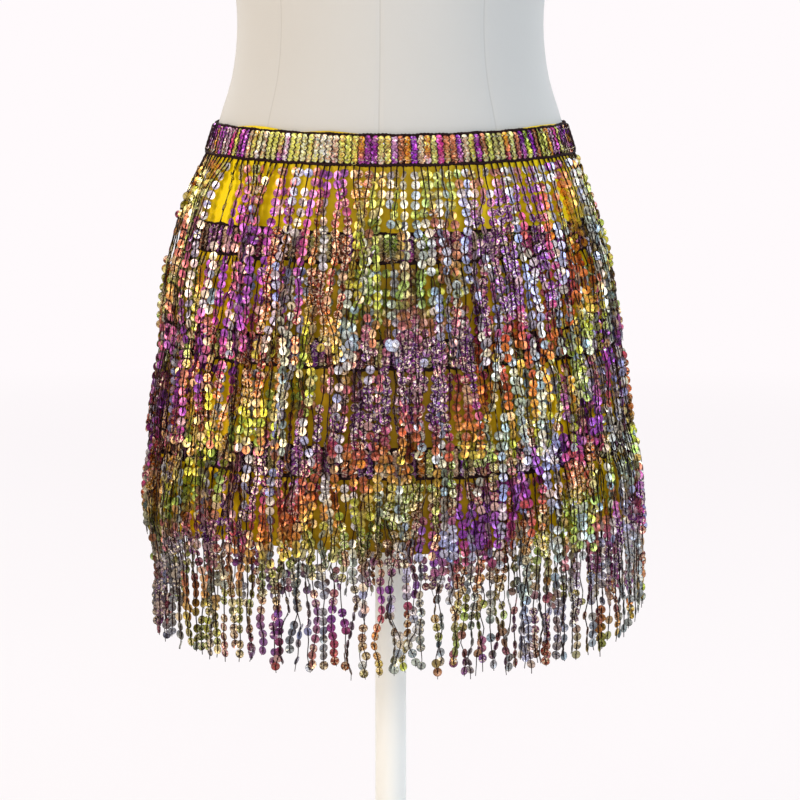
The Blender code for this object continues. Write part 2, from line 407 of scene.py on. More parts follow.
# %% Dress form
FORM = np.array([
    # height   width   depth   shift   squareness
    (-0.302, 0.1360, 0.0960, 0.0060, 2.0),
    (-0.299, 0.1460, 0.1050, 0.0060, 2.0),
    (-0.290, 0.1520, 0.1105, 0.0060, 2.0),
    (-0.270, 0.1560, 0.1135, 0.0065, 2.0),
    (-0.240, 0.1540, 0.1125, 0.0075, 2.0),
    (-0.205, 0.1490, 0.1100, 0.0085, 2.0),
    (-0.170, 0.1425, 0.1060, 0.0080, 2.0),
    (-0.135, 0.1345, 0.1005, 0.0060, 2.0),
    (-0.100, 0.1255, 0.0945, 0.0035, 2.0),
    (-0.066, 0.1183, 0.0895, 0.0010, 2.0),
    (-0.036, 0.1090, 0.0850, 0.0000, 2.0),
    (0.000, 0.1049, 0.0825, 0.0000, 2.0),
    (0.040, 0.1085, 0.0840, 0.0000, 2.0),
    (0.090, 0.1200, 0.0900, -0.0020, 2.1),
    (0.130, 0.1300, 0.1000, -0.0080, 2.1),
    (0.160, 0.1360, 0.1110, -0.0150, 2.1),
    (0.185, 0.1390, 0.1120, -0.0150, 2.1),
    (0.220, 0.1400, 0.1000, -0.0070, 2.2),
    (0.260, 0.1440, 0.0860, 0.0010, 2.3),
    (0.300, 0.1530, 0.0740, 0.0060, 2.4),
    (0.330, 0.1570, 0.0630, 0.0110, 2.4),
    (0.346, 0.1420, 0.0570, 0.0130, 2.3),
    (0.358, 0.1100, 0.0530, 0.0130, 2.1),
    (0.370, 0.0780, 0.0510, 0.0110, 2.0),
    (0.384, 0.0600, 0.0500, 0.0080, 2.0),
    (0.410, 0.0530, 0.0490, 0.0050, 2.0),
    (0.436, 0.0520, 0.0485, 0.0040, 2.0),
    (0.442, 0.0480, 0.0445, 0.0040, 2.0),
])
FORM_SIDES = 96
ring_heights = []
for low, high in zip(FORM[:-1, 0], FORM[1:, 0]):
    cuts = max(1, round((high - low) / 0.010))
    ring_heights += list(np.linspace(low, high, cuts + 1)[:-1])
ring_heights.append(FORM[-1, 0])

bpy.ops.object.select_all(action="DESELECT")
bpy.ops.mesh.primitive_circle_add(vertices=FORM_SIDES, radius=1, fill_type="NGON")
form_cover = bpy.context.object
form_cover.name = "form_cover"
bpy.ops.object.mode_set(mode="EDIT")
bpy.ops.mesh.select_all(action="SELECT")
for low, high in zip(ring_heights, ring_heights[1:]):
    bpy.ops.mesh.extrude_region_move(TRANSFORM_OT_translate={"value": (0, 0, high - low)})
bpy.ops.object.mode_set(mode="OBJECT")

points = np.empty(len(form_cover.data.vertices) * 3)
form_cover.data.vertices.foreach_get("co", points)
points = points.reshape(-1, 3)
ring = np.rint(np.interp(points[:, 2], np.array(ring_heights) - ring_heights[0],
                         range(len(ring_heights)))).astype(int)
section = eased(FORM, np.array(ring_heights)[ring])
angle = np.arctan2(-points[:, 0], points[:, 1]) % (2 * math.pi)
power = 2 / section[:, 3]
points[:, 0] = -np.sign(np.sin(angle)) * np.abs(np.sin(angle)) ** power * section[:, 0]
points[:, 1] = np.sign(np.cos(angle)) * np.abs(np.cos(angle)) ** power * section[:, 1] + section[:, 2]
points[:, 2] = WAIST_Z + np.array(ring_heights)[ring]
form_cover.data.vertices.foreach_set("co", points.ravel())
bpy.ops.object.mode_set(mode="EDIT")
bpy.ops.mesh.select_all(action="SELECT")
bpy.ops.mesh.normals_make_consistent(inside=False)
bpy.ops.object.mode_set(mode="OBJECT")
print("form rings:", len(ring_heights))

# %% [markdown]
# The seams are part of the finish: a shallow dip with a thin shadow line in it. They follow the
# turns of the panels, so the cover gets a map that runs once round the body. The form in the photograph
# is turned about three and a half degrees, so its front seams are too.

# %% Canvas cover
cover_map = form_cover.data.uv_layers.new(name="cover")
corner_vertex = np.empty(len(form_cover.data.loops), np.int32)
form_cover.data.loops.foreach_get("vertex_index", corner_vertex)
turn = angle[corner_vertex] / (2 * math.pi)
first = np.empty(len(form_cover.data.polygons), np.int32)
sizes = np.empty(len(form_cover.data.polygons), np.int32)
form_cover.data.polygons.foreach_get("loop_start", first)
form_cover.data.polygons.foreach_get("loop_total", sizes)
face_of = np.repeat(np.arange(len(first)), sizes)
widest = np.maximum.reduceat(turn, first)[face_of]
turn = np.where((widest > 0.9) & (turn < 0.1) & (sizes[face_of] == 4), turn + 1, turn)
cover_map.uv.foreach_set("vector", np.stack(
    [turn, points[corner_vertex, 2]], 1).astype(np.float32).ravel())

SEAMS = [-43.3, -3.5, 36.2, 86.5, 138.0, 176.5, 215.0, -93.5]   # degrees from the front, to the left
canvas = Finish("canvas_cover", Roughness=0.88, Sheen_Weight=0.25, Sheen_Roughness=0.5)
canvas.shader.inputs["Specular IOR Level"].default_value = 0.25
on_cover = canvas.node("ShaderNodeUVMap", {"uv_map": "cover"})
across = canvas.node("ShaderNodeSeparateXYZ", None, {0: on_cover})
line, dip = 0.0, 0.0
for seam in SEAMS:
    place = (0.5 + seam / 360) % 1
    gap = (across - place).math("ABSOLUTE")
    line = gap.math("LESS_THAN", 0.00075) + line
    dip = (1 - gap / 0.0045).math("MAXIMUM", 0.0) + dip
weave = canvas.noise(900, 1) + canvas.noise(260, 2) * 0.6
mottle = canvas.noise(7, 3)
cloth = canvas.blend(mottle, (0.530, 0.522, 0.514), (0.575, 0.567, 0.559))
cloth = canvas.blend(line.math("MINIMUM", 1.0) * 0.22, cloth, (0.30, 0.28, 0.26))
canvas.feed(Base_Color=cloth, Normal=canvas.bump(weave * 0.5 - dip * 2.0, 0.0003, 0.4))
finish_piece(form_cover, "canvas", "form", material=canvas.material)

# %% [markdown]
# ## The stand
# A plain round base, a tapered socket and a pole, all coated white. Each is a cylinder whose edges are
# rounded with a bevel, because a coated edge is never sharp. A turned groove near the rim of the base
# catches a line of light.

# %% Stand
coat = Finish("white_coat", Roughness=0.38)
coat.shader.inputs["Coat Weight"].default_value = 0.15
coat.feed(Base_Color=coat.blend(coat.noise(9, 3), (0.83, 0.83, 0.82), (0.88, 0.88, 0.87)),
          Roughness=0.34 + coat.noise(60, 2) * 0.1,
          Normal=coat.bump(coat.noise(700, 2), 0.00015, 0.5))


def turned_piece(name, radius, low, high, sides, shape):
    """A cylinder between two heights, worked on in edit mode by shape()."""
    bpy.ops.object.select_all(action="DESELECT")
    bpy.ops.mesh.primitive_cylinder_add(vertices=sides, radius=radius, depth=high - low,
                                        location=(0, 0, (low + high) / 2))
    made = bpy.context.object
    made.name = name
    bpy.ops.object.transform_apply(location=True, rotation=True, scale=True)
    bpy.ops.object.mode_set(mode="EDIT")
    bpy.ops.mesh.select_mode(type="FACE")
    bpy.ops.mesh.select_all(action="DESELECT")
    bpy.ops.object.mode_set(mode="OBJECT")
    top = max(made.data.polygons, key=lambda p: p.center.z)
    top.select = True
    bpy.ops.object.mode_set(mode="EDIT")
    shape()
    bpy.ops.mesh.select_all(action="SELECT")
    bpy.ops.mesh.normals_make_consistent(inside=False)
    bpy.ops.object.mode_set(mode="OBJECT")
    rounding = made.modifiers.new("rounding", "BEVEL")
    rounding.width, rounding.segments, rounding.limit_method = 0.0012, 3, "ANGLE"
    rounding.angle_limit = math.radians(40)
    bpy.ops.object.modifier_apply(modifier=rounding.name)
    bpy.ops.object.mode_set(mode="EDIT")    # merges the points where the groove's bevels meet
    bpy.ops.mesh.select_all(action="SELECT")
    bpy.ops.mesh.remove_doubles(threshold=0.00001)
    bpy.ops.object.mode_set(mode="OBJECT")
    return made


def grooved():
    """A shallow groove near the rim of the selected top face."""
    bpy.ops.mesh.inset(thickness=0.012)
    bpy.ops.mesh.inset(thickness=0.0015)
    bpy.ops.mesh.extrude_region_move(TRANSFORM_OT_translate={"value": (0, 0, -0.0008)})
    bpy.ops.mesh.inset(thickness=0.0015)
    bpy.ops.mesh.extrude_region_move(TRANSFORM_OT_translate={"value": (0, 0, 0.0008)})


def tapered():
    """A shoulder that narrows towards the pole."""
    bpy.ops.mesh.extrude_region_move(TRANSFORM_OT_translate={"value": (0, 0, 0.016)})
    bpy.ops.transform.resize(value=(0.66, 0.66, 1))


finish_piece(turned_piece("stand_base", 0.150, 0.0, 0.012, 128, grooved), "stand_paint", "base",
             material=coat.material, smooth=False)
finish_piece(turned_piece("stand_socket", 0.024, 0.0123, 0.020, 64, tapered), "stand_paint",
             "pole_socket", material=coat.material, smooth=False)
finish_piece(turned_piece("stand_pole", 0.011, 0.0363, 0.3377, 64,
                          lambda: bpy.ops.mesh.inset(thickness=0.002)), "stand_paint", "pole",
             material=coat.material, smooth=False)
for name in ("stand_base", "stand_socket", "stand_pole"):
    bpy.ops.object.select_all(action="DESELECT")
    bpy.data.objects[name].select_set(True)
    bpy.context.view_layer.objects.active = bpy.data.objects[name]
    bpy.ops.object.shade_smooth_by_angle(angle=math.radians(35))

# %% [markdown]
# ## The satin wrap
# The scarf's ground is one piece of soft yellow satin, wrapped round the hips and lapped at the centre
# back. It could be dropped on the form with a cloth simulation, but it is stitched down along four
# tapes, so it can only belly out a little between them. A short table of folds does this: each
# has its own place, width and depth, and all fade out where a tape holds the cloth. Below the last tape
# the hem hangs free, and there the folds are deepest.

# %% Satin folds
FOLDS = np.array([
    # degrees  width   depth, mm   lean, degrees over the height
    (8, 3.2, 1.1, 3),
    (31, 4.5, 1.8, -4),
    (52, 3.0, 1.0, 2),
    (74, 5.0, 2.1, -3),
    (98, 3.6, 1.3, 4),
    (117, 4.8, 1.7, 2),
    (134, 2.8, 1.2, -3),
    (149, 3.8, 2.0, 3),
    (163, 2.6, 1.1, -2),
    (181, 4.2, 1.9, 3),
    (197, 3.0, 1.3, 2),
    (209, 3.4, 2.2, -4),
    (228, 4.6, 1.5, 3),
    (247, 3.2, 2.0, -2),
    (271, 5.2, 1.6, 4),
    (293, 3.6, 2.1, -3),
    (318, 4.4, 1.4, 2),
    (341, 3.0, 1.9, -3),
])


def satin_fold(angle, height):
    """How far the satin bellies out at a place, in metres."""
    degrees = np.degrees(angle)
    down = (SATIN_TOP - height) / (SATIN_TOP - HEM)
    out = 0 * angle
    for place, width, depth, lean in FOLDS:
        away = (degrees - place - lean * down + 180) % 360 - 180
        out = out + depth / 1000 * np.exp(-(away / width) ** 2)
    free = np.ones_like(height)
    for top, bottom in TAPE_EDGES:
        off = np.maximum(height - top, bottom - height)
        free = free * step(0.0005, 0.014, off)
    hold_lap = step(0.06, 0.30, angle) * step(0.0, 0.25, 2 * math.pi + LAP - angle)
    return out * free * np.where(height < TAPE_EDGES[3][1], 1.25, 0.75) * hold_lap


WIDE, TALL = 240, 46
angles, hem_run = even_angles(-LAP, 2 * math.pi + LAP, WIDE, -0.30)
rise = np.linspace(0, 1, TALL)
peek = 0.0003 * np.sin(9 * angles)    # how far the satin's top edge peeks over the waist tape
peek = (0.0026 * np.exp(-((angles - 2.35) / 0.22) ** 2) + 0.0022 * np.exp(-((angles - 2.80) / 0.16) ** 2)
        + 0.0020 * np.exp(-((angles - 4.1) / 0.3) ** 2) + peek)
top_edge = SATIN_TOP - 0.0028 + np.minimum(peek, 0.0027)
hem_edge = HEM + 0.0012 * np.sin(5 * angles + 1) + 0.0008 * np.sin(13 * angles)
height = hem_edge[:, None] + (top_edge - hem_edge)[:, None] * rise
turn = np.broadcast_to(angles[:, None], height.shape)
belly = satin_fold(turn, height)
corner = np.arange((WIDE - 1) * TALL).reshape(WIDE - 1, TALL)[:, :-1].ravel()
faces = np.stack([corner, corner + 1, corner + TALL + 1, corner + TALL], -1)
cloth_map = np.stack([turn / (2 * math.pi) * hem_run, height], -1).reshape(-1, 2)
satin = mesh_piece("skirt_satin", around(turn, belly, height), faces, uv=cloth_map, uv_name="cloth")
wall = satin.modifiers.new("wall", "SOLIDIFY")
wall.thickness, wall.offset, wall.use_even_offset = 0.0005, -1, False
bpy.context.view_layer.objects.active = satin
bpy.ops.object.modifier_apply(modifier=wall.name)

# %% [markdown]
# Satin shines along its floats, so it has a fairly low roughness and a fine warp line in its bump. The
# hem is turned and stitched 6 mm from the edge. Small pulls run down the cloth in its bump, with
# painted shade along them. The sheen is painted into the colour as well, in broad bright bands round
# the hips with painted shade between them, and lower down the satin is painted darker, as the shade
# under the fringe.

# %% Satin finish
gold_satin = Finish("yellow_satin")
gold_satin.shader.inputs["Specular IOR Level"].default_value = 0.14
on_cloth = gold_satin.node("ShaderNodeUVMap", {"uv_map": "cloth"})
along_cloth = gold_satin.node("ShaderNodeSeparateXYZ", None, {0: on_cloth})
up_cloth = Value(gold_satin, along_cloth.socket.node.outputs[1])
warp = (along_cloth * 9000).math("SINE")
slow = gold_satin.noise(38, 4)
pulls_and_painted_shade = gold_satin.noise(1.0, 3, gold_satin.node("ShaderNodeVectorMath", {"operation": "MULTIPLY"},
                                               {0: on_cloth, 1: (420, 60, 1)}))
hem_line = (up_cloth - (HEM + 0.006)).math("ABSOLUTE").math("LESS_THAN", 0.0004)
stitch = (along_cloth * 2200).math("SINE").math("GREATER_THAN", -0.3) * hem_line
# Painted shade: lower down, under the fringe, the satin is painted darker and browner.
low = ((SATIN_TOP - 0.05 - up_cloth) / 0.06).clamped()
# Painted sheen: broad bands round the hips, brightest at the wearer's right front, are painted bright
# yellow where the satin shines, and dark gold between them as painted shade.
painted_sheen = ((along_cloth - 0.322) * (2 * math.pi / 0.30)).math("COSINE") * 0.42 + 0.38 + slow * 0.3
painted_sheen = painted_sheen.clamped()
upper = gold_satin.blend(painted_sheen, (0.56, 0.36, 0.003), (1.0, 0.75, 0.001))
lower = gold_satin.blend(painted_sheen, (0.27, 0.145, 0.003), (1.0, 0.64, 0.001))
colour = gold_satin.blend(low, upper, lower)
# Painted shade: the satin is painted browner along the pulls.
colour = gold_satin.blend(pulls_and_painted_shade * 0.3, colour, (0.34, 0.17, 0.004))
colour = gold_satin.blend(stitch * 0.7, colour, (0.45, 0.28, 0.01))
gold_satin.feed(Base_Color=colour, Roughness=0.30 + slow * 0.16,
                Normal=gold_satin.bump(warp * 0.12 + pulls_and_painted_shade * 0.8 - hem_line * 0.6, 0.0004, 0.6))
finish_piece(satin, "satin", "skirt_base", material=gold_satin.material)

# %% [markdown]
# ## One sequin
# A sequin is a thin round cup of shiny film with its thread through the middle. A smooth disc would
# reflect one even tone, so this one has twelve flat facets, each turned a little differently: that is
# where part of the sparkle comes from, and the rest is painted light and shade in the facets' colours.
# It is modelled once, from a circle, as a closed cup with a front and a back. The middle of a fan of
# triangles is pushed back, and a flipped copy of it a little further, and the two are joined at the rim.

# %% One sequin
SEQUIN = 0.0031
bpy.ops.object.select_all(action="DESELECT")
bpy.ops.mesh.primitive_circle_add(vertices=12, radius=SEQUIN, fill_type="TRIFAN")
pattern = bpy.context.object
pattern.name = "sequin_pattern"


def move_middle(deep):
    """Push the selected middle points of the cup back by a distance."""
    bpy.ops.object.mode_set(mode="OBJECT")
    for vertex in pattern.data.vertices:
        if vertex.select and math.hypot(*vertex.co[:2]) < 0.0005:
            vertex.co.z -= deep
    bpy.ops.object.mode_set(mode="EDIT")


bpy.ops.object.mode_set(mode="EDIT")
bpy.ops.mesh.select_mode(type="VERT")
bpy.ops.mesh.select_all(action="SELECT")
move_middle(0.00042)
bpy.ops.mesh.select_all(action="SELECT")
bpy.ops.mesh.duplicate()
bpy.ops.mesh.flip_normals()
move_middle(0.00014)
bpy.ops.mesh.select_all(action="SELECT")
bpy.ops.mesh.remove_doubles(threshold=0.00001)
bpy.ops.object.mode_set(mode="OBJECT")
CUP = np.array([v.co[:] for v in pattern.data.vertices])
CUP_FACES = np.array([p.vertices[:] for p in pattern.data.polygons])
CUP_SECTOR = np.array([int(6 + 6 * math.atan2(p.center.y, p.center.x) / math.pi) % 12
                       for p in pattern.data.polygons])
bpy.data.objects.remove(pattern)
print("one sequin has", len(CUP_FACES), "triangles")

# %% [markdown]
# ## Many sequins
# Each copy of the cup is set by a centre and two directions: up its thread and straight out of its
# face. The colour is kept in the mesh, facet by facet. The real film changes colour as it turns and no
# two facets match, and here that is painted: each facet is painted a little lighter or darker, as
# painted light and shade, and the most lit ones are painted towards white, as painted glints. One map
# says how far each point is from a sequin's middle, for its painted dark rim and hole. The other,
# OFBake, gives each sequin its own square.

# %% Many sequins
FILM = np.array([
    (0.53, 0.18, 0.62),   # violet
    (0.70, 0.20, 0.44),   # magenta
    (0.74, 0.30, 0.16),   # rust
    (0.88, 0.52, 0.14),   # orange
    (0.90, 0.74, 0.30),   # gold
    (0.72, 0.74, 0.14),   # lime
    (0.66, 0.76, 0.34),   # pale green
    (0.74, 0.48, 0.26),   # light brown
    (0.78, 0.37, 0.50),   # pink
    (0.60, 0.29, 0.66),   # lilac
])
SILVER = np.array([(0.76, 0.81, 0.88), (0.58, 0.68, 0.84), (0.88, 0.85, 0.80), (0.64, 0.68, 0.70)])
chance = np.random.default_rng(11)


def film(place):
    """The film's colour at a place in its cycle, where 0 and 1 are both violet."""
    place = (np.asarray(place) % 1) * len(FILM)
    low = np.floor(place).astype(int)
    part = (place - low)[..., None]
    return FILM[low % len(FILM)] * (1 - part) + FILM[(low + 1) % len(FILM)] * part


def linear(colour):
    """A screen colour as the light values that the renderer works with."""
    return np.where(colour < 0.04045, colour / 12.92, ((np.maximum(colour, 0) + 0.055) / 1.055) ** 2.4)


def sequin_piece(name, centres, up, face, colours, painted_facet_light, glitter, size=1.0):
    """One mesh of sequins. Each has a colour, a spread of painted light and shade over its facets, and a
    glitter.
    """
    count = len(centres)
    side = np.cross(up, face)
    cup = CUP * size
    points = (centres[:, None] + cup[None, :, :1] * side[:, None] + cup[None, :, 1:2] * up[:, None]
              + cup[None, :, 2:] * face[:, None])
    faces = (CUP_FACES[None] + len(CUP) * np.arange(count)[:, None, None]).reshape(-1, 3)
    grid = math.ceil(math.sqrt(count))
    cell = np.stack([np.arange(count) % grid, np.arange(count) // grid], -1)
    spread = (cell[:, None] + 0.5 + CUP[None, :, :2] / SEQUIN * 0.46) / grid
    made = mesh_piece(name, points, faces, uv=spread.reshape(-1, 2), uv_name="OFBake")
    disc = made.data.uv_layers.new(name="disc")
    across = np.tile(CUP[:, :2] / SEQUIN, (count, 1)).astype(np.float32)
    disc.uv.foreach_set("vector", across[faces.ravel()].ravel())
    # Painted light and shade: each facet is painted a little lighter or darker at random, and the lightest
    # ones are painted towards warm white, as painted glints.
    tone = chance.normal(0, 1, (count, 12))
    facet = tone[:, CUP_SECTOR] * painted_facet_light[:, None]
    shade = np.repeat(colours[:, None], len(CUP_FACES), 1) * (1 + 0.30 * facet[..., None])
    glint = np.clip(facet - 1.25, 0, 1)[..., None]
    shade = np.clip(shade + glint * (np.array([1.0, 0.97, 0.90]) - shade) * 1.3, 0.02, 1)
    paint = made.data.color_attributes.new("film", "FLOAT_COLOR", "CORNER")
    corners = np.ones((count * len(CUP_FACES), 3, 4), np.float32)
    corners[..., :3] = linear(shade).reshape(-1, 1, 3)
    corners[..., 3] = np.repeat(glitter, len(CUP_FACES))[:, None]
    paint.data.foreach_set("color", corners.ravel())
    return made


def film_finish(name, metal, rough):
    """The sequin film: its own colour, with glitter flakes painted as glints and shade, and a dark rim and
    hole painted as shade.
    """
    shiny = Finish(name)
    shiny.shader.inputs["Coat Roughness"].default_value = 0.12
    shiny.shader.inputs["Coat Weight"].default_value = 0.3
    tint = shiny.node("ShaderNodeVertexColor", {"layer_name": "film"})
    glitter = Value(shiny, tint.socket.node.outputs["Alpha"])
    on_disc = shiny.node("ShaderNodeUVMap", {"uv_map": "disc"})
    from_middle = shiny.node("ShaderNodeVectorMath", {"operation": "LENGTH"}, {0: on_disc}, 1)
    # Painted shade: a dark ring along the edge of each sequin, and a dark hole in the middle, for the shade
    # seen through it.
    rim = from_middle.math("GREATER_THAN", 0.86) * 0.40 + from_middle.math("LESS_THAN", 0.17) * 0.85
    grain = shiny.noise(1500, 2)
    chips = shiny.node("ShaderNodeTexVoronoi", None, {"Vector": shiny.place(), "Scale": 1100.0}, "Color")
    chip = shiny.node("ShaderNodeSeparateXYZ", None, {0: chips})
    # Painted light and shade on the glitter: some flakes are painted warm white, as glints, and some nearly
    # black, as shade.
    painted_flake_glint = chip.math("GREATER_THAN", 0.66) * glitter
    painted_flake_shade = chip.math("LESS_THAN", 0.38) * glitter
    shade = shiny.blend(painted_flake_shade * 0.68, tint, (0.035, 0.018, 0.014))
    shade = shiny.blend(painted_flake_glint * 0.60, shade, (1.0, 0.82, 0.55))
    shade = shiny.blend(rim, shade, (0.030, 0.018, 0.016))
    shiny.feed(Base_Color=shade, Metallic=metal + grain * 0.1, Roughness=rough + grain * 0.16,
               Normal=shiny.bump(grain + chip * glitter * 2.0, 0.0002, 0.45))
    return shiny.material


tape_film = film_finish("tape_sequin_film", 0.40, 0.22)
fringe_film = film_finish("fringe_sequin_film", 0.56, 0.20)

# %% [markdown]
# ## The tapes
# Each tape is a dark woven web with a corded edge on both sides. The web is a closed strip 0.7 mm thick.
# A cord is a tube whose thickness swells and narrows like a plait. The fringe pulls on the three lower
# tapes, so their cords wander more than those of the waist tape.

# %% Threads and webs
black = Finish("black_thread")
black.shader.inputs["Specular IOR Level"].default_value = 0.12
fuzz = black.noise(2600, 2)
black.feed(Base_Color=black.blend(black.noise(60, 2), (0.008, 0.003, 0.004), (0.030, 0.010, 0.011)),
           Roughness=0.62 + fuzz * 0.25, Normal=black.bump(fuzz, 0.0002, 0.6))
cream = Finish("cream_stitching", Roughness=0.55)
cream.feed(Base_Color=cream.blend(cream.noise(180, 2), (0.62, 0.50, 0.36), (0.86, 0.78, 0.64)),
           Normal=cream.bump(cream.noise(2500, 2), 0.0002, 0.5))


def ring_tube(angles, out, height, radius, sides):
    """Points and faces of one tube that follows the hips."""
    path = around(angles, out, height)
    straight, _ = facing(angles, height)
    down = np.broadcast_to([0.0, 0.0, -1.0], straight.shape)    # in this order the faces point outwards
    return tubes(path[None], np.broadcast_to(radius, angles.shape)[None], straight[None], down[None], sides)


def joined(parts):
    """Several sets of points and faces as one set."""
    points, faces, first = [], [], 0
    for some, corners in parts:
        points.append(some)
        faces.append(corners + first)
        first += len(some)
    return np.concatenate(points), np.concatenate(faces)


def tape_web(turn, top, bottom):
    """Points and faces of a closed strip, with three levels of points inside and outside."""
    levels = np.array([top, (top + bottom) / 2, bottom])
    inside_outside = np.array([0.0004, 0.0011])
    shell = around(turn[:, None, None], inside_outside[None, None, :], levels[None, :, None])
    index = np.arange(turn.size * 6).reshape(turn.size, 3, 2)
    a, b = index[:-1], index[1:]
    quads = [np.stack([a[:, k, 1], b[:, k, 1], b[:, k + 1, 1], a[:, k + 1, 1]], -1) for k in (0, 1)]
    quads += [np.stack([a[:, k + 1, 0], b[:, k + 1, 0], b[:, k, 0], a[:, k, 0]], -1) for k in (0, 1)]
    quads += [np.stack([a[:, 0, 0], b[:, 0, 0], b[:, 0, 1], a[:, 0, 1]], -1),
              np.stack([a[:, 2, 1], b[:, 2, 1], b[:, 2, 0], a[:, 2, 0]], -1)]
    for end, order in ((0, -1), (-1, 1)):
        ring = index[end][[0, 1, 1, 0], [0, 0, 1, 1]], index[end][[1, 2, 2, 1], [0, 0, 1, 1]]
        quads += [r[None, ::order] for r in ring]
    return shell.reshape(-1, 3), np.concatenate(quads)[:, ::-1]


def edge_cords(number, turn, run, top, bottom):
    """The corded edges of one tape. The lower one is thicker, because the fringe is sewn to it."""
    plait = 1 + 0.22 * np.sin(turn * run / (2 * math.pi) / 0.0024 * 2 * math.pi)
    wander = 0.00022 * np.sin(turn * 23 + number) + 0.00016 * np.sin(turn * 61)
    wander = wander * (1 if number == 0 else 2.4)
    return [ring_tube(turn, 0.0008, top - 0.0003 + wander, 0.00085 * plait, 6),
            ring_tube(turn, 0.0014, bottom + 0.0003 - wander, 0.00120 * plait, 6)]


print("tape helpers ready")

# %% [markdown]
# The sequins of a tape lie in columns and overlap like roof tiles. The colour changes from column to
# column, and in half of the columns it also drifts on the way down. The waist tape is brighter and
# less speckled than the others, which lie in the shade of the fringe. A wavy black thread runs down
# between the columns, and a broken line of pale stitches runs near each edge.

# %% Tape sequins
COLUMNS, TAPE_ROWS = 168, 9
TAPE_FILM = np.array([
    (1.00, 0.90, 0.50), (1.00, 0.80, 0.36), (0.92, 0.90, 0.36), (0.66, 0.80, 0.18),   # golds and limes
    (0.58, 0.12, 0.70), (0.70, 0.26, 0.82), (0.90, 0.22, 0.58), (0.96, 0.66, 0.86),   # violets and pinks
    (1.00, 0.56, 0.08), (0.80, 0.46, 0.30), (1.00, 0.76, 0.62), (0.60, 0.16, 0.60),   # orange and browns
])
GOLD_AND_PINK = np.array([0, 1, 2, 7, 10, 0, 1])    # rows of that table


def tape_places(columns, top, bottom):
    """Where the sequins of one tape lie, and the directions up and out of their faces."""
    count = COLUMNS * TAPE_ROWS
    turn = np.repeat(columns, TAPE_ROWS) + chance.normal(0, 0.0012, count)
    ladder = top - 0.0030 - (top - bottom - 0.0060) * np.arange(TAPE_ROWS) / (TAPE_ROWS - 1)
    level = np.tile(ladder, COLUMNS) + chance.normal(0, 0.0002, count)
    out, _ = facing(turn, level)
    lean = np.radians(chance.normal(21, 4, count))[:, None]
    swing = np.radians(chance.normal(0, 12, count))[:, None]
    straight_up = np.array([0, 0, 1.0])
    up = np.cos(lean) * straight_up - np.sin(lean) * out
    face = np.cos(lean) * out + np.sin(lean) * straight_up
    side = np.cross(up, face)
    return around(turn, 0.0019, level), up, np.cos(swing) * face + np.sin(swing) * side


def tape_colours(number, columns):
    """A colour for every sequin of one tape, column by column."""
    pick = chance.integers(0, len(TAPE_FILM), (COLUMNS, 2))
    same = np.nonzero(chance.random(COLUMNS - 1) < 0.10)[0]
    pick[same + 1] = pick[same]
    warm = np.zeros(COLUMNS, bool)
    # Painted light: at the wearer's right front, where the warm lamp glints on the waist tape, its columns
    # are painted gold and pink, and brighter.
    if number == 0:    # the waist tape is mostly gold and pink at the wearer's right front
        warm = (columns > 2.35) & (columns < 2.85) & (chance.random(COLUMNS) < 0.85)
        pick[warm] = GOLD_AND_PINK[chance.integers(0, len(GOLD_AND_PINK), (warm.sum(), 2))]
    drifting = (chance.random(COLUMNS) < 0.5) * chance.uniform(0.3, 1.0, COLUMNS)
    drift = np.tile(np.linspace(0, 1, TAPE_ROWS), COLUMNS) ** 2 * np.repeat(drifting, TAPE_ROWS)
    first = TAPE_FILM[np.repeat(pick[:, 0], TAPE_ROWS)]
    colours = first + (TAPE_FILM[np.repeat(pick[:, 1], TAPE_ROWS)] - first) * drift[:, None]
    light = 1.10 if number == 0 else 0.82
    return colours * (light + 0.28 * np.repeat(warm, TAPE_ROWS))[:, None]


def wavy_threads(columns, top, bottom):
    """The black threads between the columns, one bend for each row of sequins."""
    steps = np.arange(TAPE_ROWS + 2)
    lines = columns[:-1] + np.diff(columns) / 2
    bends = np.where(steps % 2, 0.0065, -0.0065)
    zigzag = lines[:, None] + bends + chance.normal(0, 0.0015, (len(lines), len(steps)))
    rise = top - 0.0014 - (top - bottom - 0.0028) * steps / (len(steps) - 1)
    rise = np.broadcast_to(rise, zigzag.shape)
    path = around(zigzag, np.broadcast_to(0.0028 + 0.0002 * (steps % 2), zigzag.shape), rise)
    straight, sideways = facing(zigzag, rise)
    return tubes(path, np.full(path.shape[:2], 0.00042), straight, -sideways, 4)


def pale_stitches(top, bottom):
    """Two broken lines of short stitches, one near each edge of a tape."""
    stitches = []
    for edge in (top - 0.0032, bottom + 0.0034):
        starts, _ = even_angles(-LAP + 0.01, 2 * math.pi + LAP - 0.02, 300, bottom)
        starts = starts[chance.random(300) < 0.72] + chance.normal(0, 0.0015, 1)
        for start in starts:
            bit = start + np.linspace(0, chance.uniform(0.010, 0.016), 4)
            rise = edge + chance.normal(0, 0.00025) + np.linspace(0, chance.normal(0, 0.0003), 4)
            stitches.append(ring_tube(bit, 0.0031, rise, 0.00019, 4))
    return joined(stitches)


